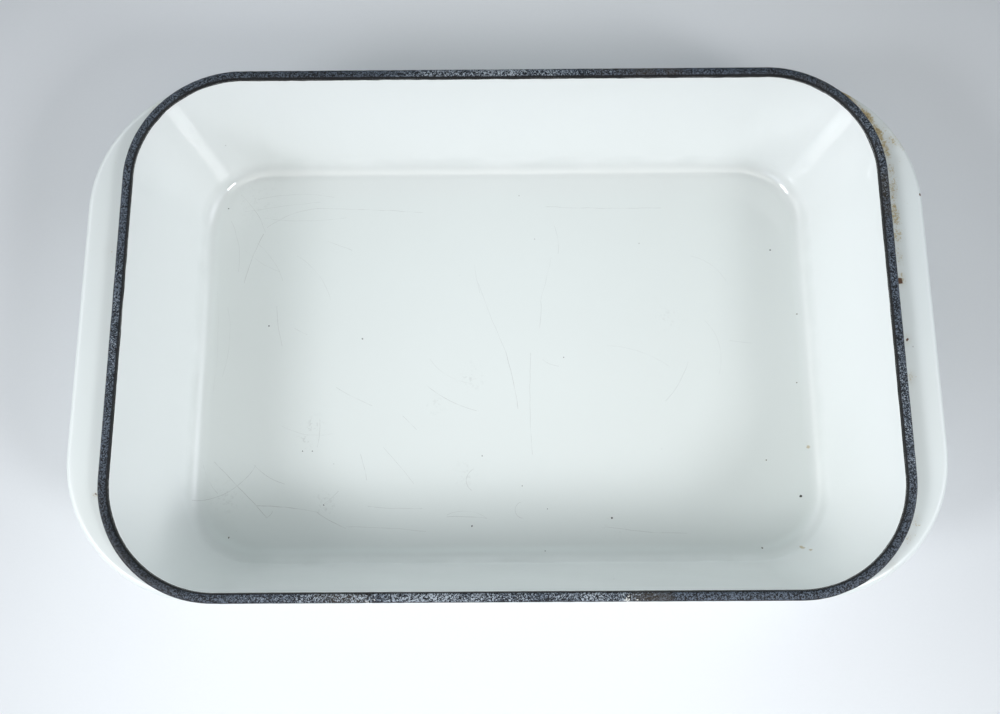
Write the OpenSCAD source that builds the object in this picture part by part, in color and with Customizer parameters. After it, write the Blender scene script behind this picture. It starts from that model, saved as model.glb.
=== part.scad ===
// Developing tray: a deep rectangular basin drawn from sheet steel, with a wired
// rim, two pressed end handles and fused enamel coats. Millimetres, +Z up. The
// origin is on the table at the middle of the base, +X runs along the tray.

/* [Rim] */
// Length over the rim
rim_l = 400; // [360:1:460]
// Width over the rim
rim_w = 277; // [250:1:320]
// Outside radius of the rim's corners in plan
rim_r = 60; // [52:1:66]
// Height from the table to the top of the rim
tray_h = 85.3; // [60:0.1:100]
// Diameter of the wire that the rim is rolled around
wire_d = 2.4; // [2:0.1:3]

/* [Basin] */
// Lean of the walls from upright, in degrees
wall_lean = 10.5; // [6:0.5:14]
// Inside radius between the floor and the walls
floor_fillet = 10.7; // [8:0.1:14]
// Thickness of the sheet steel
steel_t = 1; // [0.8:0.1:1.2]
// Thickness of an enamel coat
enamel_t = 0.3; // [0.2:0.05:0.4]

/* [Handles] */
// How far each handle stands out past the end of the rim
handle_out = 20; // [16:1:26]
// Drop from the top of the rim to the top of the handles
handle_drop = 7.8; // [7:0.1:9.5]
// How much narrower than the rim the outline of the handles is, on each side
handle_in = 0.6; // [0.4:0.1:1]
// How much larger than the rim's the radius of that outline's corners is
handle_r_extra = 13; // [8:1:14]
// Depth of the turned-down outer lip
lip_h = 9; // [7:0.5:12]
// Outside radius of the bend along the lip
lip_bend = 3.2; // [2.5:0.1:3.4]
// Depth of the inner leg that is welded to the end wall
leg_h = 14; // [12:1:20]

/* [Welds] */
// Number of plug welds through the leg of each handle
weld_count = 5; // [3:2:7]
// Distance between neighbouring welds
weld_pitch = 24; // [18:1:24]
// Diameter of a plug weld
weld_d = 5; // [4:0.5:6]

/* [Hidden] */
$fn = 96;

wire_gap = 0.05;       // between the wire and the curl around it
curl_open = 62;        // degrees that the curl leaves open towards the wall
rim_coat_open = 70;    // degrees that the rim coat leaves open there
outer_coat_stop = 2.4; // where the outer coat stops, below the rim's centre
leg_bend = 1.5;        // outside radius of the bend between a handle's plate and leg
tip_in = 6;            // from where the handle outline's corner starts to the cut-off tip
weld_drop = 8;         // from the bend down to the row of welds
far = 30;              // reach of the wedges that trim arcs
bite = 1;              // how far a cutting shape reaches past what it cuts
lap = 0.02;            // overlap that joins the pieces of one sheet or coat
cusp = 8;              // degrees of the bend left out where it comes to touch the wall

// Layers, as offsets outward from the inside surface of the basin.
lining_out = enamel_t;
steel_out = enamel_t + steel_t;
coat_out = steel_out + enamel_t;

// The rim bead. Plan positions count outward, as u, from the rectangle through the
// centres of the corners; profiles are drawn in [u, z].
wire_r = wire_d / 2;
curl_in_r = wire_r + wire_gap;
curl_out_r = curl_in_r + steel_t;
bead_r = curl_out_r + enamel_t;
path_x = rim_l / 2 - rim_r;
path_y = rim_w / 2 - rim_r;
bead = [rim_r - bead_r, tray_h - bead_r];

// Directions in the profile: up along the wall, and square to it towards the inside.
up = [sin(wall_lean), cos(wall_lean)];
inward = [-cos(wall_lean), sin(wall_lean)];

// A point beside the wall: off outward from the inside surface, s up from the rim's centre.
function beside(off, s) = bead + inward * (bead_r - off) + up * s;

// The s of the point at that offset that is at height z.
function s_at(off, z) = (z - bead[1] - inward[1] * (bead_r - off)) / up[1];

function polar(centre, r, a) = centre + r * [cos(a), sin(a)];

// Centre of the arc between floor and wall.
fillet_z = coat_out + floor_fillet;
fillet = beside(-floor_fillet, s_at(-floor_fillet, fillet_z));
wall_foot = (fillet - bead) * up;

// The outline of the handles in plan has its own, larger corners.
handle_r = rim_r + handle_r_extra;
handle_x = rim_l / 2 + handle_out - handle_r;
handle_y = rim_w / 2 - handle_in - handle_r;
handle_top = tray_h - handle_drop;
lip_low = handle_top - lip_h;
tip_x = handle_x + tip_in - enamel_t;

// Centre of the bend between plate and leg, and the foot of the leg.
leg_off = steel_out + leg_bend;
leg_s = s_at(leg_off, handle_top - enamel_t - leg_bend);
leg_centre = beside(leg_off, leg_s);
leg_low = leg_s - leg_h;

// The wedge between two angles, less than a half turn apart.
module wedge(centre, a1, a2) {
    polygon([centre, polar(centre, far, a1), polar(centre, far, (a1 + a2) / 2), polar(centre, far, a2)]);
}

// The part of a ring between two angles.
module ring_part(centre, r1, r2, a1, a2) {
    intersection() {
        difference() {
            translate(centre) circle(r2);
            translate(centre) circle(r1);
        }
        wedge(centre, a1, a2);
    }
}

// A ring about the wire that is open from the wall's direction round to the underside.
module open_ring(r1, r2, opening) {
    difference() {
        translate(bead) circle(r2);
        translate(bead) circle(r1);
        wedge(bead, 180 - wall_lean, 180 - wall_lean + opening);
    }
}

// Carries a profile round a whole rounded rectangle.
module carry_round(x, y) {
    for (i = [0:3]) {
        long = i % 2 == 0;
        rotate(90 * i) translate([long ? x : y, long ? y : x, 0]) {
            rotate_extrude(angle = 90) children();
            rotate([90, 0, 0]) linear_extrude(long ? 2 * y : 2 * x) children();
        }
    }
}

// Carries a profile round the +X end only, corners included.
module carry_end(x, y) {
    translate([x, y, 0]) {
        rotate_extrude(angle = 90) children();
        rotate([90, 0, 0]) linear_extrude(2 * y) children();
    }
    translate([x, -y, 0]) rotate(-90) rotate_extrude(angle = 90) children();
}

// One layer of the basin between two offsets. The tongue at its upper edge reaches
// into the curl, so that the two join.
module layer_profile(o1, o2, s_top, tongue) {
    translate([0, coat_out - o2]) square([fillet[0], o2 - o1]);
    ring_part(fillet, floor_fillet + o1, floor_fillet + o2, -90, -wall_lean);
    polygon([
        beside(o1, wall_foot), beside(o2, wall_foot), beside(o2, s_top),
        beside((o1 + o2) / 2, s_top + tongue), beside(o1, s_top)
    ]);
}

module layer_floor(o1, o2) {
    translate([-path_x, -path_y, coat_out - o2]) cube([2 * path_x, 2 * path_y, o2 - o1]);
}

// Sections of the lip and of the leg of the +X handle, thicker by grow. The leg bears
// on the steel wall, or reaches into it by back where it is only a cutting shape.
module lip_profile(grow) {
    ring_part([handle_r - lip_bend, handle_top - lip_bend],
        lip_bend - enamel_t - steel_t - grow, lip_bend - enamel_t + grow, 0, 90);
    translate([handle_r - enamel_t - steel_t - grow, lip_low + enamel_t - grow])
        square([steel_t + 2 * grow, lip_h - lip_bend - enamel_t + grow + lap]);
}

module leg_profile(grow, back) {
    ring_part(leg_centre, leg_bend - steel_t - grow, leg_bend + grow, 90, 180 - wall_lean);
    polygon([
        beside(steel_out - back, leg_s + lap), beside(steel_out + steel_t + grow, leg_s + lap),
        beside(steel_out + steel_t + grow, leg_low - grow), beside(steel_out - back, leg_low - grow)
    ]);
}

module round_plan(x, y, r) {
    square([2 * (x + r), 2 * y], center = true);
    square([2 * x, 2 * (y + r)], center = true);
    for (i = [-1, 1], j = [-1, 1]) translate([i * x, j * y]) circle(r);
}

// The level part of the handle, between the bends, from z on up.
module handle_sheet(z, thick) {
    translate([0, 0, z]) linear_extrude(thick) difference() {
        round_plan(handle_x, handle_y, handle_r - lip_bend + lap);
        round_plan(path_x, path_y, leg_centre[0] - lap);
    }
}

// Everything on the basin's side of a tip plane.
module inside_tips(x) {
    translate([-rim_l, -rim_w, 0]) cube([rim_l + x, 2 * rim_w, 2 * tray_h]);
}

module handle_body(grow, back) {
    difference() {
        union() {
            carry_end(handle_x, handle_y) lip_profile(grow);
            carry_end(path_x, path_y) leg_profile(grow, back);
            handle_sheet(handle_top - enamel_t - steel_t - grow, steel_t + 2 * grow);
        }
        inside_tips(tip_x - grow);
    }
}

module weld_row(r, h) {
    for (i = [0:weld_count - 1]) {
        at = beside(steel_out, leg_s - weld_drop);
        translate([path_x + at[0], (i - (weld_count - 1) / 2) * weld_pitch, at[1]])
            rotate([0, 90 + wall_lean, 0]) cylinder(r = r, h = h);
    }
}

module handle_steel() {
    color("dimgray") difference() {
        handle_body(0, 0);
        weld_row(weld_d / 2, 4 * steel_t);
    }
}

// The coat's section over the leg: over the bend, down the outer side and round the foot.
module leg_coat_profile() {
    difference() {
        ring_part(leg_centre, leg_bend, leg_bend + enamel_t, 90, 180 - wall_lean - cusp);
        polygon([beside(steel_out, 0), beside(steel_out, -far), beside(0, -far), beside(0, 0)]);
    }
    ring_part(leg_centre, leg_bend - steel_t - enamel_t, leg_bend - steel_t, 90, 180 - wall_lean);
    polygon([
        beside(steel_out + steel_t, leg_s + lap), beside(steel_out + steel_t + enamel_t, leg_s + lap),
        beside(steel_out + steel_t + enamel_t, leg_low - enamel_t), beside(steel_out, leg_low - enamel_t),
        beside(steel_out, leg_low), beside(steel_out + steel_t, leg_low)
    ]);
}

module handle_coat() {
    color("white") difference() {
        union() {
            carry_end(handle_x, handle_y) difference() {
                lip_profile(enamel_t);
                lip_profile(0);
            }
            carry_end(path_x, path_y) leg_coat_profile();
            handle_sheet(handle_top - enamel_t, enamel_t);
            handle_sheet(handle_top - steel_t - 2 * enamel_t, enamel_t);
        }
        inside_tips(tip_x);
    }
}

module steel_pan() {
    color("dimgray") union() {
        carry_round(path_x, path_y) {
            layer_profile(lining_out, steel_out, 0, steel_t / 2);
            open_ring(curl_in_r, curl_out_r, curl_open);
        }
        layer_floor(lining_out, steel_out);
    }
}

module rim_wire() {
    color("silver") carry_round(path_x, path_y) translate(bead) circle(wire_r);
}

module white_lining() {
    color("ivory") union() {
        carry_round(path_x, path_y) layer_profile(0, lining_out, 0, 0);
        layer_floor(0, lining_out);
    }
}

module white_outer_coat() {
    color("white") difference() {
        union() {
            carry_round(path_x, path_y) layer_profile(steel_out, coat_out, -outer_coat_stop, 0);
            layer_floor(steel_out, coat_out);
        }
        handle_body(enamel_t, bite);
        mirror([1, 0, 0]) handle_body(enamel_t, bite);
    }
}

module black_rim_coat() {
    color("black") carry_round(path_x, path_y) open_ring(curl_out_r, bead_r, rim_coat_open);
}

module right_handle() {
    handle_steel();
}

module left_handle() {
    mirror([1, 0, 0]) handle_steel();
}

module right_handle_coat() {
    handle_coat();
}

module left_handle_coat() {
    mirror([1, 0, 0]) handle_coat();
}

module right_plug_welds() {
    color("silver") weld_row(weld_d / 2, steel_t);
}

module left_plug_welds() {
    color("silver") mirror([1, 0, 0]) weld_row(weld_d / 2, steel_t);
}

steel_pan();
rim_wire();
white_lining();
white_outer_coat();
black_rim_coat();
left_handle();
right_handle();
left_handle_coat();
right_handle_coat();
left_plug_welds();
right_plug_welds();
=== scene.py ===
"""Looks of the developing tray: enamelled sheet steel, a rolled black rim and two channel handles."""

import math

import bmesh
import bpy
import numpy as np
from mathutils import Matrix, Vector


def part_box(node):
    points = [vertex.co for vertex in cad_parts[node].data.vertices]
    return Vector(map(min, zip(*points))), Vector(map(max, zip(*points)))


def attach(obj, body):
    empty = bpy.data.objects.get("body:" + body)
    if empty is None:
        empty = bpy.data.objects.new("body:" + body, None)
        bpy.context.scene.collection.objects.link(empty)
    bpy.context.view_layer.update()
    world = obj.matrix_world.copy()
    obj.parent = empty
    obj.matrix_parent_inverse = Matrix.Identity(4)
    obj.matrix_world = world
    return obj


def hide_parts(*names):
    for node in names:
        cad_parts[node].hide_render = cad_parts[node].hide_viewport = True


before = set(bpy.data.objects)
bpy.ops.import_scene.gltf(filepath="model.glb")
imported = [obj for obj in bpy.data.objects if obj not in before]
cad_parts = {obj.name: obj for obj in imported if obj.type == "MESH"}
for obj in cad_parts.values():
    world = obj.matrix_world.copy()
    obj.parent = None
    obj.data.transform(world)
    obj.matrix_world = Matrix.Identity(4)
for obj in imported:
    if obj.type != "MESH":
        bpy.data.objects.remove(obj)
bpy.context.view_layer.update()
MM = 0.001


# ---------------------------------------------------------------- sizes, from the CAD frame


def corners(node):
    """The lowest and highest corner of a CAD node."""
    low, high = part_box(node)
    return np.array(low), np.array(high)


rim_low, rim_high = corners("black_rim_coat")
handle_high = corners("right_handle_coat")[1]

TOP = rim_high[2]
BEAD_R = (rim_high[2] - rim_low[2]) / 2
RIM_R = 60 * MM
PATH = np.array([rim_high[0] - RIM_R, rim_high[1] - RIM_R])
LEAN = math.radians(10.5)
ENAMEL = 0.3 * MM
STEEL = 1.0 * MM
FILLET = 10.7 * MM
SHEET = STEEL + 2 * ENAMEL

HANDLE_R = 73 * MM
HANDLE_INSET = 0.6 * MM  # how much narrower than the rim a handle is, on each side
HANDLE_PATH = np.array([handle_high[0] - HANDLE_R, rim_high[1] - HANDLE_INSET - HANDLE_R])
HANDLE_TOP = handle_high[2]
LIP_BEND = 3.2 * MM
LIP_LOW = HANDLE_TOP - 9 * MM
LEG_BEND = 1.5 * MM
LEG_H = 14 * MM

BEAD = np.array([RIM_R - BEAD_R, TOP - BEAD_R])
UP = np.array([math.sin(LEAN), math.cos(LEAN)])
INWARD = np.array([-math.cos(LEAN), math.sin(LEAN)])


def beside(off, s):
    """A profile point: off outward from the basin's inside face, s up the wall from the rim's centre."""
    return BEAD + INWARD * (BEAD_R - off) + UP * s


def s_at(off, z):
    """How far up the wall, as in beside, a line at this offset reaches the height z."""
    return (z - BEAD[1] - INWARD[1] * (BEAD_R - off)) / UP[1]


def polar(centre, r, degrees):
    """Points on an arc about a centre."""
    a = np.radians(np.asarray(degrees, dtype=float))[:, None]
    return centre + r * np.hstack([np.cos(a), np.sin(a)])


FILLET_C = beside(-FILLET, s_at(-FILLET, SHEET + FILLET))
WALL_ANGLE = -math.degrees(LEAN)


# ---------------------------------------------------------------- smooth waves for worked sheet


def waves(seed, count, longest, shortest):
    """A sum of sine waves in space, between about -1 and 1."""
    rng = np.random.default_rng(seed)
    length = np.exp(rng.uniform(math.log(shortest), math.log(longest), count))
    way = rng.normal(size=(count, 3))
    way /= np.linalg.norm(way, axis=1)[:, None]
    vector = way * (2 * math.pi / length)[:, None]
    phase = rng.uniform(0, 2 * math.pi, count)
    weight = length ** 0.5
    weight /= weight.sum() ** 0.5 * weight.mean() ** 0.5

    def field(p):
        return (np.sin(p @ vector.T + phase) * weight).sum(-1) * 0.7

    return field


sheet_wave = waves(3, 26, 0.16, 0.035)
rim_wave = waves(5, 30, 0.06, 0.008)
edge_wave = waves(9, 60, 0.02, 0.0016)


# ---------------------------------------------------------------- sweeping profiles


def round_stations(path, straight_step, corner_steps):
    """Base points and outward directions round a whole rounded rectangle."""
    base, out = [], []
    x, y = path
    for i, (cx, cy) in enumerate([(x, y), (-x, y), (-x, -y), (x, -y)]):
        start = 90 * i
        for k in range(corner_steps):
            a = math.radians(start + 90 * k / corner_steps)
            base.append((cx, cy))
            out.append((math.cos(a), math.sin(a)))
        side = 2 * x if i % 2 == 0 else 2 * y
        n = max(2, round(side / straight_step))
        a = math.radians(start + 90)
        d = np.array([-math.sin(a), math.cos(a)])
        for k in range(n):
            base.append(tuple(np.array([cx, cy]) + d * side * k / n))
            out.append((math.cos(a), math.sin(a)))
    return np.array(base), np.array(out)


def swept(profile, base, out):
    """Points [profile, station, xyz]. A profile may also be given for each station."""
    profile = np.asarray(profile)
    if profile.ndim == 2:
        profile = np.repeat(profile[:, None, :], len(base), axis=1)
    u, z = profile[..., 0], profile[..., 1]
    xy = base[None] + out[None] * u[..., None]
    return np.dstack([xy[..., 0], xy[..., 1], z])


def grid_faces(rows, columns, wrap_columns, wrap_rows=False, flip=False):
    """Four-sided faces between the points of a grid that may close on itself."""
    faces = []
    for r in range(rows if wrap_rows else rows - 1):
        for c in range(columns if wrap_columns else columns - 1):
            a, b = r * columns + c, r * columns + (c + 1) % columns
            r2 = (r + 1) % rows
            d, e = r2 * columns + c, r2 * columns + (c + 1) % columns
            faces.append((a, d, e, b) if flip else (a, b, e, d))
    return faces


def rectangle_fill(path, z, nx, ny):
    """A level grid of points that fills the rectangle inside the rounded corners."""
    xs, ys = np.linspace(-path[0], path[0], nx + 1), np.linspace(-path[1], path[1], ny + 1)
    gx, gy = np.meshgrid(xs, ys)
    return np.dstack([gx, gy, np.full_like(gx, z)])


def make(name, parts, merge=2e-6):
    """One mesh object from (points, faces) parts, with its normals set outward."""
    points, faces, at = [], [], 0
    for p, f in parts:
        p = np.asarray(p).reshape(-1, 3)
        points.append(p)
        faces += [tuple(int(i) + at for i in q) for q in f]
        at += len(p)
    mesh = bpy.data.meshes.new(name)
    mesh.from_pydata(np.vstack(points).tolist(), [], faces)
    b = bmesh.new()
    b.from_mesh(mesh)
    bmesh.ops.remove_doubles(b, verts=b.verts, dist=merge)
    bmesh.ops.dissolve_degenerate(b, dist=merge / 4, edges=b.edges)
    bmesh.ops.recalc_face_normals(b, faces=b.faces)
    for face in b.faces:
        face.smooth = True
    b.to_mesh(mesh)
    b.free()
    obj = bpy.data.objects.new(name, mesh)
    bpy.context.scene.collection.objects.link(obj)
    return obj


def spaced(a, b, step):
    """Points from a to b, about a step apart."""
    n = max(1, round(float(np.linalg.norm(np.subtract(b, a))) / step))
    t = np.linspace(0, 1, n + 1)[:, None]
    return np.asarray(a) * (1 - t) + np.asarray(b) * t


# ---------------------------------------------------------------- the basin's enamel
SIDE_STEP = 2.4 * MM
WALL_STEP = 2.2 * MM
CORNER_STEPS = 30
base, out = round_stations(PATH, SIDE_STEP, CORNER_STEPS)
NX, NY = round(2 * PATH[0] / SIDE_STEP), round(2 * PATH[1] / SIDE_STEP)


def layer_line(off, s_top):
    """A face of the basin's section, at an offset from its inside, from the floor's middle to the rim."""
    floor = spaced((0, SHEET - off), (FILLET_C[0], SHEET - off), SIDE_STEP)
    arc = polar(FILLET_C, FILLET + off, np.linspace(-90, WALL_ANGLE, 13))
    wall = spaced(arc[-1], beside(off, s_top), WALL_STEP)
    return np.vstack([floor[:-1], arc[:-1], wall])


WAVE_HEIGHT = 0.11 * MM
CALM_RIM, CALM_FADE = 4 * MM, 6 * MM  # the waves die out under the rim, and over what height


def push(points, line):
    """Moves a swept skin along its normal by the sheet's shared waves, dying out at the rim."""
    tangent = np.gradient(line, axis=0)
    tangent /= np.linalg.norm(tangent, axis=1)[:, None]
    nu, nz = tangent[:, 1], -tangent[:, 0]
    z = line[:, 1]
    keep = np.clip((TOP - CALM_RIM - z) / CALM_FADE, 0, 1)
    keep = keep * keep * (3 - 2 * keep)
    w = sheet_wave(points) * WAVE_HEIGHT * keep[:, None]
    move = np.dstack([out[None, :, 0] * nu[:, None], out[None, :, 1] * nu[:, None],
                      np.repeat(nz[:, None], len(base), axis=1)])
    return points + move * w[..., None]


def push_floor(points):
    """Moves the floor's middle by the same waves."""
    return points + np.dstack([0 * points[..., 0], 0 * points[..., 0],
                               -sheet_wave(points) * WAVE_HEIGHT])


def skin(name, offsets, s_top, wavy):
    """A closed thin coat between two offsets of the basin."""
    lines = [layer_line(off, s_top) for off in offsets]
    rows = [swept(line, base, out) for line in lines]
    fills = [rectangle_fill(PATH, SHEET - off, NX, NY) for off in offsets]
    if wavy:
        rows = [push(r, line) for r, line in zip(rows, lines)]
        fills = [push_floor(f) for f in fills]
    m, n = rows[0].shape[:2]
    parts = [(rows[0], grid_faces(m, n, True)), (rows[1], grid_faces(m, n, True, flip=True))]
    for k, fill in enumerate(fills):
        parts.append((fill, grid_faces(NY + 1, NX + 1, False, flip=bool(k))))
    edge = np.stack([rows[0][-1], rows[1][-1]])
    parts.append((edge, grid_faces(2, n, True)))
    return make(name, parts)


COAT = 0.9 * ENAMEL  # the visible coats stop short of the steel's surface
OUTER_TOP = -2.4 * MM  # where the outer coat ends on the wall, under the bead

lining = skin("lining_enamel", (0.0, COAT), 0.0, wavy=True)
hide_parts("white_lining")
outer = skin("outer_enamel", (SHEET - COAT, SHEET), OUTER_TOP, wavy=False)
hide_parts("white_outer_coat")

# ---------------------------------------------------------------- the black rim
rim_base, rim_out = round_stations(PATH, 1.1 * MM, 84)
TANGENT = 180 - math.degrees(LEAN)
UNDER = TANGENT + 70
mid = swept(np.array([BEAD]), rim_base, rim_out)[0]
ragged = edge_wave(mid)
FILM_REACH, FILM_RAGGED = 0.6 * MM, 0.2 * MM
film_end = FILM_REACH + FILM_RAGGED * np.clip(ragged, -1.2, 1.6)
under_end = UNDER + 5 * edge_wave(mid + 0.5)
turns = np.linspace(0, 1, 56)
CROWN_POWER = 3.0  # 2 is a round bead; more is a flatter one
FILM = 0.07 * MM  # the black film that runs down onto the wall
FILM_BACK = 0.12 * MM  # how deep the film's hidden face lies
BEAD_COAT = 0.25 * MM
SWAY = 0.05 * MM
LUMP = 0.07 * MM


def bead_ring(shrink, along):
    """A line round the whole bead, at a share of the way from its low outer end over to the wall.
    The crown is pressed flat.
    """
    low = UNDER - 360
    a = low + (TANGENT - low) * along
    a = a - (1 - along) ** 3 * (UNDER - under_end)
    c, s = np.cos(np.radians(a)), np.sin(np.radians(a))
    flat = np.clip((s - 0.15) / 0.35, 0, 1)
    power = 2 + (CROWN_POWER - 2) * flat * flat * (3 - 2 * flat)
    r = (BEAD_R - shrink) * (np.abs(c) ** power + np.abs(s) ** power) ** (-1 / power)
    return np.stack([BEAD[0] + r * c, BEAD[1] + r * s], -1)


section = [bead_ring(0.0, t) for t in turns]
for t in (0.35, 0.7, 0.92, 1.0):
    thick = FILM * (1 if t < 0.9 else 0.75 if t < 1 else 0.15)
    section.append(np.array([beside(-thick, -e * t) for e in film_end]))
for t in (1.0, 0.5, 0.0):
    section.append(np.array([beside(FILM_BACK, -e * t) for e in film_end]))
for t in np.linspace(1, 0, 16):
    section.append(bead_ring(BEAD_COAT, t))
rows = swept(np.array(section), rim_base, rim_out)
sway = rim_wave(mid)
lift = np.concatenate([np.sin(0.5 * math.pi * turns), np.zeros(len(section) - len(turns))])
rows[..., 2] -= np.abs(sway)[None] * SWAY * lift[:, None]
# The outside of the bead is a little lumpy, and only ever shrinks.
bead = rows[:len(turns)]
lump = np.abs(edge_wave(bead)) * LUMP * np.sin(math.pi * turns)[:, None]
reach = np.hypot(*(bead[..., :2] - rim_base[None]).transpose(2, 0, 1))
bead[..., :2] -= rim_out[None] * (lump * np.sign(reach - BEAD[0]))[..., None]
bead[..., 2] -= lump * 0.5
rim_faces = grid_faces(len(section), len(rim_base), True, wrap_rows=True)
rim = make("rim_enamel", [(rows, rim_faces)], merge=1e-7)
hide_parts("black_rim_coat")


# ---------------------------------------------------------------- the handles
HANDLE_TURN = 79.0  # how far round the corner a handle runs, in degrees


def handle_stations():
    """For the +X end: base and direction on the basin's path, and the same on the handle's path."""
    arc = np.radians(np.linspace(0, HANDLE_TURN, 60))
    leg_base, leg_out = [], []
    for y in np.linspace(0, PATH[1], 40)[:-1]:
        leg_base.append((PATH[0], y))
        leg_out.append((1.0, 0.0))
    for a in arc:
        leg_base.append(tuple(PATH))
        leg_out.append((math.cos(a), math.sin(a)))
    leg_base, leg_out = np.array(leg_base), np.array(leg_out)
    lip_base, lip_out = [], []
    for b, d in zip(leg_base, leg_out):
        # Where a line from the leg's base meets the handle's outline.
        if b[1] < HANDLE_PATH[1] and d[1] == 0:
            lip_base.append((HANDLE_PATH[0], b[1]))
            lip_out.append((1.0, 0.0))
            continue
        c = b - HANDLE_PATH
        k = c @ d
        r = -k + math.sqrt(k * k - c @ c + HANDLE_R ** 2)
        n = (b + d * r - HANDLE_PATH) / HANDLE_R
        lip_base.append(tuple(HANDLE_PATH))
        lip_out.append(tuple(n))
    both = []
    for array in (leg_base, leg_out, np.array(lip_base), np.array(lip_out)):
        below = array[1:][::-1] * np.array([1, -1])
        both.append(np.vstack([below, array]))
    return both


LEG_OFF = STEEL + ENAMEL + LEG_BEND
LEG_S = s_at(LEG_OFF, HANDLE_TOP - ENAMEL - LEG_BEND)
LEG_C = beside(LEG_OFF, LEG_S)
LEG_LOW = LEG_S - LEG_H
GROOVE_BEND = 2.3 * MM


def handle_section():
    """Three runs of [u, z] points: the bend up to the wall, the lip, and the leg. Level spans join them."""
    groove = beside(SHEET, LEG_S + 2.6 * MM)
    top_start = np.array([LEG_C[0] + 1.6 * MM, HANDLE_TOP])
    bend_c = np.array([groove[0] + 2.2 * MM, HANDLE_TOP + GROOVE_BEND])
    bend = polar(bend_c, GROOVE_BEND, np.linspace(196, 262, 7))
    bend = np.vstack([bend[bend[:, 1] > HANDLE_TOP + 0.02 * MM], top_start])
    lip_c = np.array([HANDLE_R - LIP_BEND, HANDLE_TOP - LIP_BEND])
    half = SHEET / 2
    lip = np.vstack([
        polar(lip_c, LIP_BEND, np.linspace(90, 0, 11)),
        spaced((HANDLE_R, lip_c[1] - 1 * MM), (HANDLE_R, LIP_LOW + half), 1 * MM),
        polar(np.array([HANDLE_R - half, LIP_LOW + half]), half, np.linspace(-20, -160, 6)),
        spaced((HANDLE_R - SHEET, LIP_LOW + half), (HANDLE_R - SHEET, lip_c[1] - 0.5 * MM), 1 * MM),
        polar(lip_c, LIP_BEND - SHEET, np.linspace(0, 90, 6)),
    ])
    far = SHEET + STEEL
    against = SHEET - 0.15 * MM
    leg = np.vstack([
        polar(LEG_C, 0.25 * MM, [90, 130, TANGENT]),
        spaced(beside(far, LEG_S), beside(far, LEG_LOW + 0.4 * MM), 1.5 * MM)[1:],
        [beside(far - 0.15 * MM, LEG_LOW - 0.1 * MM), beside(far - 0.5 * MM, LEG_LOW - ENAMEL),
         beside(SHEET - 0.1 * MM, LEG_LOW - ENAMEL * 1.4)],
        spaced(beside(against, LEG_LOW + 1 * MM), beside(against, LEG_S + 2.4 * MM), 3 * MM),
    ])
    return bend, lip, leg


BRIDGE = 12  # how many strips the level spans have
DENT, SINK = 0.12 * MM, 0.05 * MM
FADE_IN = 0.15
dent = waves(21, 20, 0.09, 0.02)


def build_handle(name, mirror, seed):
    """One handle's coat, as a closed pressed sheet. The left one is the right one mirrored."""
    leg_base, leg_out, lip_base, lip_out = handle_stations()
    bend, lip, leg = handle_section()
    bend, leg = swept(bend, leg_base, leg_out), swept(leg, leg_base, leg_out)
    lip = swept(lip, lip_base, lip_out)
    t = np.linspace(0, 1, BRIDGE + 1)[1:-1, None, None]
    top = bend[-1][None] * (1 - t) + lip[0][None] * t
    under = lip[-1][None] * (1 - t) + leg[0][None] * t
    rows = np.vstack([bend, top, lip, under, leg])
    # The level spans sink a little, unevenly along the handle, and most in their middle.
    middle = (len(bend) + len(top) + len(lip) // 2) // 2
    depth = np.abs(dent(rows[middle] + seed)[None] * DENT) + SINK
    fade = np.zeros(len(rows))
    for start in (len(bend), len(bend) + len(top) + len(lip)):
        fade[start:start + len(top)] = np.sin(np.linspace(FADE_IN, math.pi - FADE_IN, len(top)))
    rows[..., 2] -= depth * fade[:, None]
    # Rounded noses at the two tips.
    m, n = rows.shape[:2]
    centre = rows.mean(axis=0)
    cap = []
    for end, step in ((0, -1), (n - 1, 1)):
        ahead = rows[:, end] - rows[:, end - step]
        ahead /= np.linalg.norm(ahead, axis=1)[:, None]
        around = np.roll(rows[:, end], -1, 0) - np.roll(rows[:, end], 1, 0)
        inward = np.cross(around, ahead) * step
        inward /= np.linalg.norm(inward, axis=1)[:, None] + 1e-12
        for forward, narrower in ((0.25 * MM, 0.12 * MM), (0.40 * MM, 0.35 * MM)):
            cap.append((rows[:, end] + ahead * forward + inward * narrower)[:, None])
    rows = np.concatenate([cap[1], cap[0], rows, *cap[2:]], axis=1)
    n = rows.shape[1]
    if mirror:
        rows = rows * np.array([-1, 1, 1])
    faces = grid_faces(m, n, False, wrap_rows=True)
    faces.append(tuple(r * n for r in range(m)))
    faces.append(tuple(r * n + n - 1 for r in range(m))[::-1])
    return make(name, [(rows, faces)], merge=1e-7)


right = build_handle("right_handle_enamel", False, 0.0)
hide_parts("right_handle_coat")
left = build_handle("left_handle_enamel", True, 0.7)
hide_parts("left_handle_coat")

for piece in (lining, outer, rim, right, left):
    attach(piece, "root")


# ---------------------------------------------------------------- building materials


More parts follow.
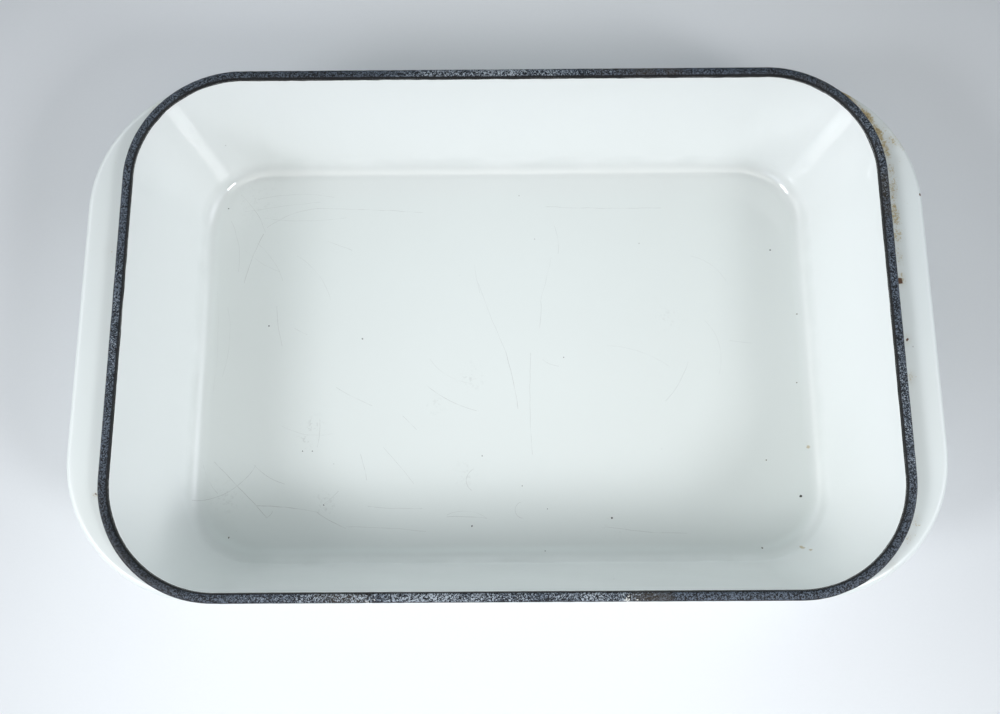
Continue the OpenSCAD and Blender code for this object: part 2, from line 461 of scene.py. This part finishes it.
class Graph:
    """A material being made: short ways to add nodes and join them."""

    def __init__(self, name):
        self.material = bpy.data.materials.new(name)
        self.material.use_nodes = True
        self.tree = self.material.node_tree
        self.shader = self.tree.nodes["Principled BSDF"]
        self.place = self.add("TexCoord").outputs["Object"]

    def add(self, kind, settings=None, **inputs):
        node = self.tree.nodes.new("ShaderNode" + kind)
        for key, value in (settings or {}).items():
            setattr(node, key, value)
        for key, value in inputs.items():
            self.feed(node.inputs[key.replace("_", " ")], value)
        return node

    def feed(self, socket, value):
        if isinstance(value, bpy.types.NodeSocket):
            self.tree.links.new(value, socket)
        else:
            socket.default_value = value

    def math(self, operation, *values, clamp=False):
        node = self.add("Math", {"operation": operation, "use_clamp": clamp})
        for socket, value in zip(node.inputs, values):
            self.feed(socket, value)
        return node.outputs[0]

    def span(self, value, low, high, start=0.0, end=1.0):
        """Goes from start to end as the value goes from low to high, with soft ends. Low may be larger."""
        return self.add("MapRange", {"interpolation_type": "SMOOTHSTEP"}, Value=value, From_Min=low,
                        From_Max=high, To_Min=start, To_Max=end).outputs[0]

    def noise(self, size, detail=2.0, rough=0.5, place=None, stretch=None):
        """Noise from 0 to 1 whose blotches are about this many metres across."""
        place = place or self.place
        if stretch:
            place = self.add("Mapping", Vector=place, Scale=stretch).outputs[0]
        return self.add("TexNoise", Vector=place, Scale=0.5 / size, Detail=detail,
                        Roughness=rough).outputs[0]

    def cells(self, size):
        """A random grid, with cells about this many metres across."""
        return self.add("TexVoronoi", Vector=self.place, Scale=1 / size)

    def attribute(self, name):
        return self.add("Attribute", {"attribute_name": name}).outputs["Fac"]

    def mix(self, amount, first, second):
        node = self.add("Mix", {"data_type": "RGBA"})
        self.feed(node.inputs[0], amount)
        for socket, value in ((node.inputs[6], first), (node.inputs[7], second)):
            self.feed(socket, value if isinstance(value, bpy.types.NodeSocket) else (*value, 1))
        return node.outputs[2]

    def axis(self, place=None):
        """The three parts of a place or a colour."""
        return self.add("SeparateXYZ", Vector=place or self.place).outputs

    def most(self, values):
        total = values[0]
        for value in values[1:]:
            total = self.math("MAXIMUM", total, value)
        return total

    def specks(self, size, share, radius, channel=0):
        """Sparse round dots: one in some of the cells of a random grid."""
        cell = self.cells(size)
        chosen = self.axis(cell.outputs["Color"])[channel]
        rare = self.span(chosen, 1 - share, 1.0, 0.0, radius / size)
        return self.span(self.math("SUBTRACT", rare, cell.outputs["Distance"]), -0.02, 0.05)

    def bump(self, height, depth, normal=None):
        node = self.add("Bump", Height=height, Distance=depth)
        node.inputs["Strength"].default_value = 1.0
        if normal:
            self.feed(node.inputs["Normal"], normal)
        return node.outputs[0]

    def finish(self, **inputs):
        for key, value in inputs.items():
            socket = self.shader.inputs[key.replace("_", " ")]
            self.feed(socket, (*value, 1) if isinstance(value, tuple) and len(value) == 3 else value)
        return self.material


def paint(piece, name, function):
    """Keeps a number at every point of a piece, for its material to read."""
    points = np.array([v.co for v in piece.data.vertices])
    layer = piece.data.attributes.new(name, "FLOAT", "POINT")
    layer.data.foreach_set("value", np.asarray(function(points), dtype=np.float32))


def near(points, marks):
    """The strongest of some soft spots (x, y, reach, strength) in millimetres, seen from above."""
    x, y = points[:, 0] / MM, points[:, 1] / MM
    return np.max([k * np.exp(-((x - a) ** 2 + (y - b) ** 2) / r ** 2) for a, b, r, k in marks], axis=0)


def put(piece, material):
    """Gives a piece one material."""
    piece.data.materials.clear()
    piece.data.materials.append(material)


# ---------------------------------------------------------------- scratches and specks
# Start, middle and end on the tray's floor in millimetres, and how dark. Most were read by eye on the
# photograph, and a projection script gave their places, rounded here. The others were listed without
# the photograph. The others were put in by hand.
SCRATCHES = [
    ((-168, -62), (-154, -76), (-136, -94), 0.9), ((-180, -84), (-166, -83), (-144, -64), 0.8),
    ((-143, -87), (-126, -88), (-107, -91), 1.0), ((-108, -91), (-100, -96), (-91, -100), 1.0),
    ((-145, -64), (-136, -71), (-127, -75), 0.7), ((-137, -94), (-136, -94), (-133, -90), 0.8),
    ((-146, 76), (-152, 61), (-156, 45), 0.9), ((-161, 101), (-152, 91), (-145, 77), 0.5),
    ((-144, 80), (-130, 88), (-112, 92), 0.6), ((-114, 92), (-85, 91), (-50, 89), 0.5),
    ((-136, 31), (-135, 21), (-132, 6), 0.6), ((-107, 71), (-99, 68), (-92, 65), 0.5),
    ((-99, -19), (-88, -25), (-78, -30), 0.6), ((-46, -18), (-33, -27), (-17, -33), 0.7),
    ((-108, -38), (-108, -47), (-109, -54), 0.7), ((-84, -58), (-82, -65), (-80, -73), 0.7),
    ((-71, -54), (-62, -64), (-53, -75), 0.5), ((-19, -67), (-23, -73), (-20, -79), 0.8),
    ((-34, -94), (-22, -94), (-11, -95), 0.7), ((-79, -88), (-63, -89), (-48, -89), 0.6),
    ((-91, -99), (-69, -100), (-46, -102), 0.5), ((25, 92), (58, 91), (95, 91), 0.5),
    ((21, 33), (21, 25), (20, 16), 0.6), ((0, 2), (4, -14), (7, -32), 0.8),
    ((15, 1), (14, -29), (15, -59), 0.6), ((8, -86), (14, -90), (9, -95), 0.8),
    ((57, -100), (81, -103), (102, -104), 0.6), ((107, -5), (102, -16), (93, -28), 0.4),
    ((-150, 98), (-128, 101), (-104, 99), 0.3), ((-158, 90), (-138, 93), (-112, 96), 0.25),
    ((-146, 86), (-120, 84), (-96, 86), 0.3), ((-166, 84), (-161, 70), (-160, 52), 0.3),
    ((-150, 70), (-140, 60), (-133, 46), 0.3), ((-157, 66), (-144, 56), (-135, 52), 0.2),
    ((-172, 40), (-170, 10), (-171, -22), 0.25), ((-165, 30), (-163, 8), (-166, -12), 0.2),
    ((-125, 62), (-112, 50), (-104, 34), 0.25), ((-18, 55), (-17, 47), (-15, 38), 0.3),
    ((-16, 44), (-8, 22), (0, 2), 0.3), ((30, 80), (32, 71), (32, 62), 0.35),
    ((28, 60), (24, 44), (21, 33), 0.25), ((-45, -2), (-34, -12), (-20, -17), 0.25),
    ((60, 5), (80, 1), (96, -8), 0.2), ((112, 60), (124, 54), (132, 44), 0.25),
    ((118, 20), (126, 4), (124, -14), 0.2), ((-132, -40), (-118, -46), (-100, -46), 0.25),
    ((132, 8), (138, 7), (145, 6), 0.3), ((-60, -36), (-56, -40), (-52, -44), 0.5),
    ((-125, 17), (-121, 15), (-117, 13), 0.5), ((-174, -64), (-171, -72), (-165, -80), 0.5),
    ((22, -3), (27, -6), (31, -7), 0.4), ((-105, -87), (-100, -83), (-96, -79), 0.6),
    ((-34, -93), (-22, -91), (-11, -95), 0.4),
]
# Grey smears on the floor: place, reach and strength.
SMEARS = [(-112, -42, 5, 1.0), (-116, -50, 4, 0.9), (-103, -86, 6, 0.8), (-20, -13, 7, 0.6),
          (-41, -30, 5, 0.5), (-24, -70, 6, 0.5), (96, 22, 7, 0.4), (-160, -82, 9, 0.5),
          (60, -99, 8, 0.3), (-150, 96, 12, 0.35)]
# Dark specks: place in millimetres, radius, and how brown. The places are that script's output.
SPECKS = [
    (159.5, 63.5, 0.55, 0.2), (167.6, -83.4, 0.75, 0.1), (59.7, -95.1, 0.55, 0.1), (-19.7, -99.2, 0.5, 0.1),
    (143.6, -112.3, 0.4, 0.3), (21.4, -113.3, 0.4, 0.2), (-157.4, -104.8, 0.4, 0.3), (-140.3, 18.4, 0.4, 0.1),
    (-168, 92.2, 0.35, 0.1), (-84.5, 10.3, 0.35, 0.1), (-117.4, -56, 0.3, 0.0), (-111.7, -56, 0.3, 0.0),
    (-13.7, -59.4, 0.35, 0.0), (34.2, -1.8, 0.35, 0.1), (169.8, -17.7, 0.35, 0.3), (149, -62.8, 0.4, 0.3),
    (-104.2, -86.9, 0.4, 0.2), (23.2, -89.9, 0.3, 0.1), (173.6, -55.5, 0.7, 0.8), (163.6, -112.2, 0.6, 0.9),
    (165.2, -114, 0.5, 1.0), (8.9, -76.7, 0.3, 0.0), (172.7, 23.6, 0.35, 0.4),
]


def shaken(g, size, amount):
    """The place on the surface, seen from above and shaken a little so that no mark is a perfect circle."""
    shake = g.add("TexNoise", Vector=g.place, Scale=0.5 / size, Detail=0.0).outputs["Color"]
    place = g.add("VectorMath", {"operation": "MULTIPLY_ADD"})
    g.feed(place.inputs[0], shake)
    place.inputs[1].default_value = (amount, amount, 0)
    g.feed(place.inputs[2], g.place)
    flat = g.add("VectorMath", {"operation": "MULTIPLY_ADD"})
    g.feed(flat.inputs[0], place.outputs[0])
    flat.inputs[1].default_value = (1, 1, 0)
    flat.inputs[2].default_value = (-amount / 2, -amount / 2, 0)
    return flat.outputs[0]


def away(g, place, centre):
    """How far the place is from a point of the floor."""
    node = g.add("VectorMath", {"operation": "DISTANCE"})
    g.feed(node.inputs[0], place)
    node.inputs[1].default_value = (*centre, 0)
    return node.outputs["Value"]


FAINTEST = 0.2
THINNEST, THICKER = 0.07, 0.08  # half the width of a scratch in millimetres, and more when it is dark


def scratch_mask(g):
    """Each scratch is a thin ring about the centre of its arc, kept only near its middle."""
    place = shaken(g, 4 * MM, 0.8 * MM)
    lines = []
    for start, middle, end, dark in SCRATCHES:
        a, m, b = (np.array(p) * MM for p in (start, middle, end))
        chord = b - a
        half = np.linalg.norm(chord) / 2
        across = np.array([-chord[1], chord[0]]) / (2 * half)
        bow = float((m - (a + b) / 2) @ across)
        bow = math.copysign(max(abs(bow), 0.01 * half), bow)
        r = (half ** 2 + bow ** 2) / (2 * abs(bow))
        centre = (a + b) / 2 + across * (bow - math.copysign(r, bow))
        ring = g.math("COMPARE", away(g, place, centre), float(r), (THINNEST + THICKER * dark) * MM)
        part = g.math("LESS_THAN", away(g, place, (a + b) / 2), float(half))
        lines.append(g.math("MULTIPLY_ADD", ring, part, FAINTEST + (1 - FAINTEST) * dark - 1))
    broken = g.span(g.noise(3 * MM, 1, 0.7), 0.3, 0.6, 0.25, 1.0)
    return g.math("MULTIPLY", g.math("MAXIMUM", g.most(lines), 0.0), broken)


def speck_masks(g):
    """The dark specks, and the ochre ones with the stain round them."""
    place = shaken(g, 0.5 * MM, 0.7 * MM)
    dots, rusty = [], []
    for x, y, radius, brown in SPECKS:
        gap = away(g, place, (x * MM, y * MM))
        if brown < 0.8:
            dots.append(g.math("LESS_THAN", gap, radius * 0.95 * MM))
        if brown > 0.25:
            rusty.append(g.span(gap, radius * 1.9 * MM, radius * 0.7 * MM, 0.0, brown))
    return g.most(dots), g.most(rusty)


# ---------------------------------------------------------------- enamel
WHITE = (0.81, 0.845, 0.83)
COOL_WHITE = (0.79, 0.84, 0.835)
WALL_WHITE = (0.875, 0.905, 0.895)
FLOOR_WHITE = (0.765, 0.80, 0.785)
GREY = (0.30, 0.30, 0.29)
DARK = (0.035, 0.030, 0.028)
OCHRE = (0.45, 0.32, 0.08)
RUST = (0.25, 0.15, 0.045)
BROWN = (0.115, 0.050, 0.020)
OLIVE = (0.30, 0.25, 0.12)
# brown for the grime and painted shade in the handles' seam
GRIME_AND_SHADE_BROWN = (0.20, 0.17, 0.12)
PITCH = (0.007, 0.008, 0.010)
BLACK = (0.008, 0.008, 0.009)
# the lighter speckle of the rim's crown, a painted sheen
SHEEN_SLATE = (0.13, 0.16, 0.205)
# worn grey on the rim's crown, partly a painted glint
WORN_GLINT_GREY = (0.40, 0.45, 0.50)
SCORCHED = (0.050, 0.040, 0.027)
# chips in the black rim, partly a painted glint
CHIP_GLINT_WHITE = (0.75, 0.75, 0.72)
MILL_SCALE = (0.10, 0.105, 0.12)
FRESH_RUST = (0.22, 0.075, 0.02)
OLD_RUST = (0.08, 0.03, 0.015)


def enamel_surface(g, colour, roughness):
    """Fired enamel: slow ripples and fine pits under a gloss of the given roughness."""
    ripple, peel = g.noise(7 * MM, 1, 0.5), g.noise(1.3 * MM, 0)
    height = g.math("ADD", ripple, g.math("MULTIPLY", peel, 0.2))
    g.finish(Base_Color=colour, Roughness=roughness, Normal=g.bump(height, 0.030 * MM))
    g.shader.inputs["IOR"].default_value = 1.65
    return g.material


def enamel_tone(g, tone=None):
    """White enamel with sparse grey pricks."""
    tone = tone or g.mix(g.span(g.noise(60 * MM, 1), 0.3, 0.7), WHITE, COOL_WHITE)
    pricks = g.specks(9 * MM, 0.10, 0.45 * MM)
    return g.mix(g.math("MULTIPLY", pricks, 0.75), tone, GREY)


def smudges(g, low, high):
    """A roughness that varies in soft patches."""
    return g.span(g.noise(24 * MM, 2, 0.65), 0.35, 0.7, low, high)


def lining_enamel():
    """White enamel, darker on the floor than on the walls, with the floor's scratches and specks."""
    g = Graph("white_enamel_inside")
    uneven = g.span(g.noise(12 * MM, 1), 0.3, 0.7, 0.0, 3 * MM)
    # Darker towards the floor, lighter up the walls.
    floor_share = g.span(g.math("ADD", g.axis()[2], uneven), 14 * MM, 4 * MM)
    colour = enamel_tone(g, g.mix(floor_share, WALL_WHITE, FLOOR_WHITE))
    marks = scratch_mask(g)
    marks = g.math("MULTIPLY", marks, g.math("LESS_THAN", g.axis()[2], 5 * MM))
    smear = g.math("MULTIPLY", g.attribute("smear"), g.span(g.noise(1.2 * MM, 2, 0.7), 0.52, 0.72))
    marks = g.math("MAXIMUM", marks, g.math("MULTIPLY", smear, 0.5))
    colour = g.mix(g.math("MULTIPLY", marks, 0.62), colour, GREY)
    dots, rusty = speck_masks(g)
    low = g.math("LESS_THAN", g.axis()[2], 22 * MM)
    colour = g.mix(g.math("MULTIPLY", rusty, g.math("MULTIPLY", low, 0.7)), colour, OCHRE)
    colour = g.mix(g.math("MULTIPLY", dots, g.math("MULTIPLY", low, 0.92)), colour, DARK)
    rough = g.math("ADD", smudges(g, 0.06, 0.13), g.math("MULTIPLY", marks, 0.3))
    rough = g.math("ADD", rough, g.math("MULTIPLY", g.attribute("dull"), 0.11))
    return enamel_surface(g, colour, rough)


def outer_enamel():
    """White enamel, rubbed and chipped low down."""
    g = Graph("white_enamel_outside")
    colour = enamel_tone(g)
    height = g.axis()[2]
    low = g.span(height, 9 * MM, 0.0)
    rub = g.span(g.noise(5 * MM, 3, 0.7, stretch=(0.25, 0.25, 1.6)), 0.52, 0.72)
    rub = g.math("MULTIPLY", rub, low)
    colour = g.mix(g.math("MULTIPLY", rub, 0.45), colour, GREY)
    chips = g.specks(14 * MM, 0.25, 1.4 * MM, 1)
    chips = g.math("MULTIPLY", chips, g.span(height, 7 * MM, 2 * MM))
    colour = g.mix(chips, colour, DARK)
    rough = g.math("ADD", smudges(g, 0.1, 0.2), g.math("MULTIPLY", rub, 0.25))
    return enamel_surface(g, colour, rough)


def handle_enamel(name):
    """White enamel with rust, spots, and grime mixed with painted shade in the seam by the wall, where the
    piece's attributes put them.
    Its roughness stays above 0.27, because the denoiser leaves hard-edged patches where it crosses that.
    """
    g = Graph(name)
    colour = enamel_tone(g)
    rust, seam_grime_and_shade = g.attribute("rust"), g.attribute("seam_grime_and_shade")
    grit = g.math("ADD", g.noise(0.5 * MM, 3, 0.75), g.math("MULTIPLY", g.noise(3 * MM, 1, 0.5), 0.32))
    level = g.math("ADD", grit, g.math("MULTIPLY", rust, 0.40))
    stain = g.span(level, 0.89, 1.03)
    core = g.span(level, 1.07, 1.19)
    colour = g.mix(g.math("MULTIPLY", g.span(rust, 0.05, 1.0), 0.26), colour, OLIVE)
    colour = g.mix(g.math("MULTIPLY", stain, 0.7), colour, OCHRE)
    colour = g.mix(g.math("MULTIPLY", core, 0.7), colour, RUST)
    # Grime mixed with painted shade, darkest in the corner against the wall.
    seam_darkening = g.math("MULTIPLY", seam_grime_and_shade, g.span(g.noise(3 * MM, 4, 0.65), 0.3, 0.7, 0.35, 1.0))
    colour = g.mix(g.math("MULTIPLY", seam_darkening, 0.6), colour, GRIME_AND_SHADE_BROWN)
    spots = g.span(g.attribute("spots"), 0.45, 0.6)
    colour = g.mix(spots, colour, BROWN)
    rough = g.math("ADD", smudges(g, 0.29, 0.40), g.math("MULTIPLY", stain, 0.4), clamp=True)
    return enamel_surface(g, colour, rough)


def rim_enamel():
    """Black enamel: smoother on its sides, duller along its crown, where a lighter speckled colour is painted
    sheen.
    """
    g = Graph("black_enamel")
    crown, wear_and_glint, brown = g.attribute("crown"), g.attribute("wear_and_glint"), g.attribute("brown")
    grain = g.math("ADD", g.math("MULTIPLY", g.noise(0.6 * MM, 2, 0.8), 0.6),
                   g.math("MULTIPLY", g.axis(g.cells(0.44 * MM).outputs["Color"])[0], 0.4))
    patch = g.noise(6 * MM, 1, 0.6)
    # The crown's lighter speckled colour is painted sheen: glints of the lights on the satin black.
    painted_sheen = g.mix(g.span(grain, 0.40, 0.68), PITCH, SHEEN_SLATE)
    colour = g.mix(crown, BLACK, painted_sheen)
    warm = g.math("MULTIPLY", g.span(g.math("ADD", patch, brown), 0.62, 1.1), crown)
    colour = g.mix(g.math("MULTIPLY", warm, 0.5), colour, SCORCHED)
    # Worn patches on the crown: partly real wear, partly painted glints of the lights.
    worn_glint = g.math("ADD", grain, g.math("MULTIPLY", wear_and_glint, g.span(patch, 0.2, 0.7, 0.10, 0.28)))
    worn_glint = g.math("MULTIPLY", g.span(worn_glint, 0.66, 0.88), g.math("MULTIPLY", crown, g.span(wear_and_glint, 0.02, 0.2)))
    colour = g.mix(worn_glint, colour, WORN_GLINT_GREY)
    # Chips in the black: partly real, partly painted glints.
    chip_glint = g.span(g.math("ADD", g.attribute("chips"), g.math("MULTIPLY", grain, 0.9)), 0.98, 1.06)
    colour = g.mix(chip_glint, colour, CHIP_GLINT_WHITE)
    teeth = g.math("ADD", g.attribute("edge"), g.math("MULTIPLY", grain, 0.9))
    colour = g.mix(g.span(teeth, 1.10, 1.16), colour, WALL_WHITE)
    rough = g.math("ADD", g.span(crown, 0.0, 1.0, 0.29, 0.42), g.math("MULTIPLY", grain, 0.15))
    normal = g.bump(grain, 0.035 * MM)
    normal = g.bump(g.math("MAXIMUM", worn_glint, chip_glint), -0.04 * MM, normal)
    g.shader.inputs["Specular IOR Level"].default_value = 0.25
    return g.finish(Base_Color=colour, Roughness=rough, Normal=normal)


# ---------------------------------------------------------------- metal


def steel(name, seed, tone, rust_share):
    """Rolled sheet or drawn wire under the enamel: scale, draw lines and rust."""
    g = Graph(name)
    place = g.add("Mapping", Vector=g.place, Location=(seed, 2 * seed, 0)).outputs[0]
    lines = g.noise(0.6 * MM, 3, 0.7, place=place, stretch=(0.05, 1, 1))
    scale = g.noise(9 * MM, 4, 0.65, place=place)
    rust = g.span(g.noise(5 * MM, 5, 0.75, place=place), 0.72 - rust_share, 0.86 - rust_share)
    colour = g.mix(g.span(lines, 0.2, 0.8), tuple(0.6 * c for c in tone), tone)
    colour = g.mix(g.span(scale, 0.45, 0.7), colour, MILL_SCALE)
    colour = g.mix(rust, colour, g.mix(g.noise(1 * MM, 3), FRESH_RUST, OLD_RUST))
    rough = g.math("ADD", g.span(scale, 0.3, 0.8, 0.32, 0.5), g.math("MULTIPLY", rust, 0.4))
    metallic = g.math("SUBTRACT", 1.0, rust)
    normal = g.bump(rust, 0.06 * MM, g.bump(lines, 0.02 * MM))
    return g.finish(Base_Color=colour, Roughness=rough, Metallic=metallic, Normal=normal)


def out_by(points):
    """How far a point is out from the rectangle that the rim's corners turn about."""
    return np.hypot(*np.maximum(np.abs(points[:, :2]) - PATH, 0).T)


def dull_foot(points):
    """The foot of the walls, less at the two far corners. Duller enamel weakens a line of light there."""
    low = np.clip((17 * MM - points[:, 2]) / (7 * MM), 0, 1)
    foot = low * (out_by(points) > FILLET_C[0] - 3 * MM)
    far = np.clip((points[:, 1] - PATH[1]) / (12 * MM) + 1, 0, 1)
    between = 0.5 * np.clip((PATH[0] - np.abs(points[:, 0])) / (15 * MM), 0, 1)
    return foot * (1 - far + far * between)


paint(lining, "smear", lambda p: near(p, SMEARS) * (p[:, 2] < 4 * MM))
paint(lining, "dull", dull_foot)
put(lining, lining_enamel())
put(outer, outer_enamel())
# Rust beside the rim, and single spots: place, reach and strength. Several of the places are the same
# projection script's output, some of it rounded.
RIGHT_RUST = [(178, 131, 9, 1.2), (186, 125, 10, 1.2), (194, 115, 10, 1.1), (200, 104, 9, 1.0),
              (204, 94, 8, 1.0), (205, 83, 8, 0.65), (205, 70, 8, 0.85), (205, 57, 8, 1.0),
              (205, 45, 7, 0.7), (205, 34, 7, 0.6), (205, 22, 5, 0.8), (205, -10, 4, 0.6),
              (205, -30, 5, 0.6), (200, -101, 5, 0.5), (196, -109, 5, 0.5), (186, -122, 5, 0.5)]
RIGHT_DRIFT = [(207, 99, 5, 0.85), (212, 97, 4, 0.75), (204, 108, 5, 0.5), (208, 88, 5, 0.35)]
RIGHT_SPOTS = [(203.3, 21.0, 2.1, 1.0), (204.2, 27.5, 0.9, 0.8), (204.2, -10.3, 1.1, 0.9),
               (205.3, -29.5, 1.1, 0.8), (218.6, 68, 1.0, 1.0)]
LEFT_RUST = [(-203, -86, 1.8, 0.7), (-189, 122, 7, 0.5), (-204, 40, 9, 0.3)]
LEFT_SPOTS = [(-203.3, -85.7, 0.9, 0.9)]


def band(points, centre, reach):
    """A soft band round the tray, so many millimetres out from the rim's rectangle."""
    return np.exp(-((out_by(points) / MM - centre) / reach) ** 2)


def seam(points):
    """Grime and painted shade, strong in the corner between the handle's sheet and the basin's wall."""
    return band(points, 58.7, 1.6) * (points[:, 2] > LIP_LOW)


RUST_OUT, RUST_REACH = 64, 3.2  # the band of rust beside the rim

# The left handle's rust also stands for its drift away from the rim.
for piece, marks, drift, spots in ((right, RIGHT_RUST, RIGHT_DRIFT, RIGHT_SPOTS),
                                   (left, LEFT_RUST, LEFT_RUST, LEFT_SPOTS)):
    paint(piece, "rust", lambda p: np.maximum(near(p, marks) * band(p, RUST_OUT, RUST_REACH),
                                              near(p, drift) * 0.8))
    paint(piece, "spots", lambda p: near(p, spots))
    paint(piece, "seam_grime_and_shade", seam)
    put(piece, handle_enamel(piece.name))

# The speckled band is painted sheen on the bead's crown.
CROWN_OUT, CROWN_HALF, CROWN_EDGE = 57.6, 2.15, 0.4  # the speckled band, in millimetres
DARK_STRETCHES = [(-188, -118, 42, 0.68), (188, -122, 40, 0.3), (-110, 136, 50, 0.35), (150, 134, 40, 0.3)]
# Worn patches on the rim's crown, partly painted glints: place, reach and strength.
WEAR_AND_GLINTS = [(0, 136, 42, 1.0), (-35, 136, 20, 0.7), (-84, -136, 30, 1.0), (-30, -136, 45, 0.9),
        (40, -136, 22, 0.9), (197, -50, 30, 0.6), (-197, 0, 30, 0.35), (196, 80, 20, 0.25),
        (190, 105, 10, 0.4)]
BROWNED = [(75, 136, 30, 0.5), (197, 70, 30, 0.4), (-80, -137, 14, 0.7), (70, -137, 10, 0.7),
           (160, 128, 20, 0.4), (-185, -120, 34, 0.3)]
# Chips in the rim, partly painted glints: place, reach and strength.
CHIPS_AND_GLINTS = [(-67, -138.5, 2.5, 0.56), (-63, -137, 2.2, 0.5), (57, -137.5, 2.2, 0.62),
         (58, -135.5, 1.6, 0.56), (62, -138.5, 4.0, 0.5), (12, 136, 2.0, 0.4)]


def crown_sheen_band(points):
    """Painted sheen on the top of the bead, a little to its outer side, weaker along the dark stretches."""
    top = np.clip((points[:, 2] - TOP + 1.5 * MM) / (0.8 * MM), 0, 1)
    across = np.abs(out_by(points) / MM - CROWN_OUT)
    band_share = np.clip((CROWN_HALF - across) / CROWN_EDGE, 0, 1)
    return top * band_share * (1 - near(points, DARK_STRETCHES))


def inner_edge(points):
    """The low inside of the bead, where the black film ends in ragged teeth."""
    return np.clip((TOP - BEAD_R - points[:, 2]) / (1.3 * MM), 0, 1) * (out_by(points) < BEAD[0])


def chips(points):
    return near(points, CHIPS_AND_GLINTS) * np.clip((points[:, 2] - TOP + 2.4 * MM) / (1.2 * MM), 0, 1)


paint(rim, "crown", crown_sheen_band)
paint(rim, "edge", inner_edge)
paint(rim, "wear_and_glint", lambda p: near(p, WEAR_AND_GLINTS))
paint(rim, "brown", lambda p: near(p, BROWNED))
paint(rim, "chips", chips)
put(rim, rim_enamel())

METALS = {"steel_pan": ((0.42, 0.41, 0.40), 0.10), "rim_wire": ((0.50, 0.49, 0.48), 0.16),
          "left_handle": ((0.42, 0.41, 0.40), 0.24), "right_handle": ((0.42, 0.41, 0.40), 0.30),
          "left_plug_welds": ((0.30, 0.29, 0.29), 0.20), "right_plug_welds": ((0.30, 0.29, 0.29), 0.20)}
for number, (name, (tone, rust_share)) in enumerate(METALS.items()):
    put(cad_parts[name], steel(name + "_metal", 0.3 * number, tone, rust_share))

# ---------------------------------------------------------------- floor, lights, camera
FLOOR_HALF, FLOOR_TOP = 4.0, -0.1 * MM  # a little under the base, so that the two never coincide
mesh = bpy.data.meshes.new("floor")
floor_corners = [(x * FLOOR_HALF, y * FLOOR_HALF, FLOOR_TOP) for x, y in ((-1, -1), (1, -1), (1, 1), (-1, 1))]
mesh.from_pydata(floor_corners, [], [(0, 1, 2, 3)])
floor = bpy.data.objects.new("floor", mesh)
bpy.context.scene.collection.objects.link(floor)
g = Graph("floor_paper")
fibre = g.mix(g.noise(0.8 * MM, 4, 0.7), (0.785, 0.805, 0.825), (0.815, 0.835, 0.855))
put(floor, g.finish(Base_Color=fibre, Roughness=0.9))


AIM_HEIGHT = 0.04


def soft_light(name, azimuth, elevation, distance, size, power, colour, aim_y, grid):
    """A softbox. Azimuth is from +Y towards +X. A grid narrows the angle that it shines into."""
    data = bpy.data.lights.new(name, "AREA")
    data.shape = "RECTANGLE"
    data.size, data.size_y = size
    data.energy = power
    data.color = colour
    data.spread = math.radians(grid)
    obj = bpy.data.objects.new(name, data)
    a, e = math.radians(azimuth), math.radians(elevation)
    aim = Vector((0, aim_y, AIM_HEIGHT))
    way = Vector((math.sin(a) * math.cos(e), math.cos(a) * math.cos(e), math.sin(e)))
    obj.location = aim + distance * way
    obj.rotation_euler = (obj.location - aim).to_track_quat("Z", "Y").to_euler()
    bpy.context.scene.collection.objects.link(obj)


# Their strengths and tints come from a fit to the photograph's brightness, then trimmed.
soft_light("left_key", -114, 41, 1.3, (0.30, 0.28), 0.46, (0.96, 0.98, 1.0), aim_y=-0.1, grid=50)
soft_light("right_key", 129, 42, 1.3, (0.28, 0.28), 0.50, (0.97, 0.98, 1.0), aim_y=-0.1, grid=50)
soft_light("front_top", 180, 70, 0.9, (0.9, 0.9), 1.15, (1.0, 0.97, 0.92), aim_y=-0.35, grid=90)
soft_light("left_side", -90, 26, 1.2, (1.2, 0.95), 0.80, (1.0, 0.99, 0.99), aim_y=-0.08, grid=60)
soft_light("right_side", 90, 26, 1.2, (1.2, 0.95), 1.27, (0.90, 0.93, 1.0), aim_y=-0.15, grid=65)
soft_light("left_front", -135, 25, 1.5, (1.0, 1.0), 1.02, (0.82, 0.86, 1.0), aim_y=-0.2, grid=70)
soft_light("back_left", -45, 30, 1.3, (1.0, 1.0), 0.67, (0.90, 0.94, 1.0), aim_y=-0.2, grid=60)
soft_light("back_top", 0, 55, 1.3, (0.9, 0.9), 0.22, (0.76, 1.0, 0.96), aim_y=-0.2, grid=60)
world = bpy.data.worlds.new("room")
world.use_nodes = True
world.node_tree.nodes["Background"].inputs["Color"].default_value = (0.78, 0.89, 1.0, 1)
world.node_tree.nodes["Background"].inputs["Strength"].default_value = 0.085
bpy.context.scene.world = world

# The camera is the one fitted to the photograph's outlines. Its place is in lengths of the rim, from
# the middle of the plane that the fit took for the rim, which lies a little under the rim's top.
FOCAL, WIDTH = 969.0, 1000.0
TILT, YAW, ROLL = 0.21385, 0.00388, -0.00651
RIM_PLANE = TOP - 2.3 * MM
camera_data = bpy.data.cameras.new("camera")
camera_data.sensor_width = 36
camera_data.lens = 36 * FOCAL / WIDTH
camera_data.clip_start = 0.01
camera = bpy.data.objects.new("camera", camera_data)
turn = Matrix.Rotation(TILT, 4, "X") @ Matrix.Rotation(YAW, 4, "Y") @ Matrix.Rotation(ROLL, 4, "Z")
length = 2 * rim_high[0]
camera.matrix_world = Matrix.Translation((-0.00269 * length, -0.30549 * length,
                                          RIM_PLANE + 1.18832 * length)) @ turn
bpy.context.scene.collection.objects.link(camera)
bpy.context.scene.camera = camera
bpy.context.scene.view_settings.view_transform = "Standard"
